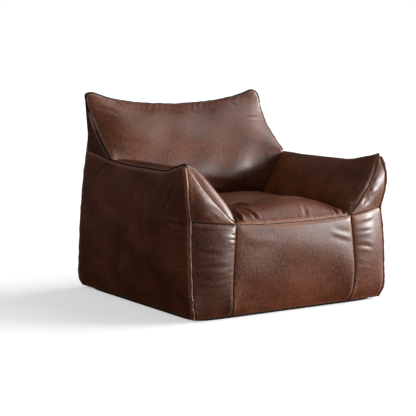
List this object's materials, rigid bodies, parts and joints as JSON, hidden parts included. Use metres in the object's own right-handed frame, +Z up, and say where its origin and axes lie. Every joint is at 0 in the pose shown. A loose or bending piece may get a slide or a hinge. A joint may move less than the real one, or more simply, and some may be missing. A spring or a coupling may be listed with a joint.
{
  "type": "bean bag chair",
  "caption": "Boxy bean bag armchair: sewn leather cover with raised seams, pointed arms and back corners, bead-filled liner bags and a zip along the rear hem.",
  "frame": {"origin": "middle of the chair's footprint, on the floor", "axes": "+X to the right as seen from in front of the chair, front of the seat towards -Y, +Z up"},
  "size_m": [0.7996, 0.8, 0.6996],
  "materials": {
    "leather_brown": "soft, waxed pull-up leather, mottled dark brown, semi-gloss",
    "leather_worn": "the same leather rubbed lighter along the raised seams",
    "liner_fabric": "plain woven liner cloth",
    "base_cloth": "black-brown non-slip coated cloth",
    "beads": "white expanded polystyrene beads",
    "zip_tape": "woven polyester zip tape",
    "brass_metal": "antique brass, satin"
  },
  "bodies": {
    "chair": {"back_front_panel": "leather_brown", "seat_panel": "leather_brown", "front_panel": "leather_brown", "rear_upper_panel": "leather_brown", "rear_lower_panel": "leather_brown", "rear_hem_panel": "leather_brown", "side_panel_left": "leather_brown", "side_panel_right": "leather_brown", "arm_inner_panel_left": "leather_brown", "arm_inner_panel_right": "leather_brown", "arm_front_panel_left": "leather_brown", "arm_front_panel_right": "leather_brown", "front_gusset_left": "leather_brown", "front_gusset_right": "leather_brown", "back_wing_panel_left": "leather_brown", "back_wing_panel_right": "leather_brown", "back_welt": "leather_worn", "seat_front_welt": "leather_worn", "arm_welt_left": "leather_worn", "arm_welt_right": "leather_worn", "arm_base_welt_left": "leather_worn", "arm_base_welt_right": "leather_worn", "corner_welt_left": "leather_worn", "corner_welt_right": "leather_worn", "rear_corner_welt_left": "leather_worn", "rear_corner_welt_right": "leather_worn", "base_liner": "liner_fabric", "back_liner": "liner_fabric", "left_arm_liner": "liner_fabric", "right_arm_liner": "liner_fabric", "base_liner_flap": "liner_fabric", "back_liner_flap": "liner_fabric", "left_arm_liner_flap": "liner_fabric", "right_arm_liner_flap": "liner_fabric", "base_panel": "base_cloth", "base_beads": "beads", "back_beads": "beads", "left_arm_beads": "beads", "right_arm_beads": "beads", "zip_tape_upper": "zip_tape", "zip_tape_lower": "zip_tape", "zip_coil_upper": "zip_tape", "zip_coil_lower": "zip_tape", "zip_stop_closed": "brass_metal", "zip_stop_open": "brass_metal"},
    "zip_slider": {"zip_slider": "brass_metal"}
  },
  "joints": [
    {"name": "zip_slide", "type": "slide", "parent": "chair", "child": "zip_slider", "axis": [-1, 0, 0], "range_m": [0, 0.536]}
  ]
}
